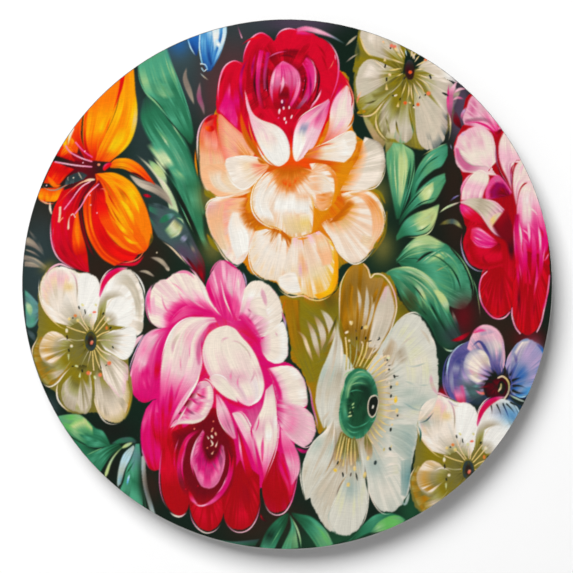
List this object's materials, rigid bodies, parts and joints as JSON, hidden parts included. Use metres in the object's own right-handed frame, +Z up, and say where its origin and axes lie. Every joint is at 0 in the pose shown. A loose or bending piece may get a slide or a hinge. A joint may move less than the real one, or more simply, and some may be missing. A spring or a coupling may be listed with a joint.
{
  "type": "round painted metal wall plate",
  "caption": "Round flat steel plate painted all over with a dense bouquet of garden flowers, bonded to a mitred wooden stand-off frame that hangs on hinged rings.",
  "frame": {"origin": "centre of the whole object's box, on the plate's axis", "axes": "+Z up as it hangs, +X to the right seen from the front, painted face towards -Y and wall towards +Y"},
  "size_m": [0.3, 0.0164, 0.3],
  "materials": {
    "steel_sheet": "bare cut edge, satin",
    "painting": "hand-painted flowers in oil on a dark ground under gloss lacquer",
    "back_lacquer": "black lacquer, semi-gloss",
    "pine": "planed pine, unfinished",
    "foam_tape": "white foam bonding tape",
    "nail_steel": "plain steel",
    "strap_steel": "bright zinc plated",
    "ring_steel": "bright zinc plated wire",
    "screw_steel": "bright zinc plated",
    "bumper_rubber": "black rubber, matt"
  },
  "bodies": {
    "plate_and_frame": {"plate": "steel_sheet", "painted_face": "painting", "back_lacquer": "back_lacquer", "corner_nails": "nail_steel", "frame_rail_top": "pine", "frame_rail_right": "pine", "frame_rail_bottom": "pine", "frame_rail_left": "pine", "bond_strip_top": "foam_tape", "bond_strip_right": "foam_tape", "bond_strip_bottom": "foam_tape", "bond_strip_left": "foam_tape", "wall_bumper_left": "bumper_rubber", "hanger_strap_left": "strap_steel", "hanger_screws_left": "screw_steel", "wall_bumper_right": "bumper_rubber", "hanger_strap_right": "strap_steel", "hanger_screws_right": "screw_steel"},
    "ring_left": {"hanger_ring_left": "ring_steel"},
    "ring_right": {"hanger_ring_right": "ring_steel"}
  },
  "joints": [
    {"name": "ring_left_swing", "type": "hinge", "parent": "plate_and_frame", "child": "ring_left", "pos_m": [-0.06, 0.00603, 0.0935], "axis": [-1, 0, 0], "range_deg": [0, 165]},
    {"name": "ring_right_swing", "type": "hinge", "parent": "plate_and_frame", "child": "ring_right", "pos_m": [0.06, 0.00603, 0.0935], "axis": [-1, 0, 0], "range_deg": [0, 165]}
  ]
}
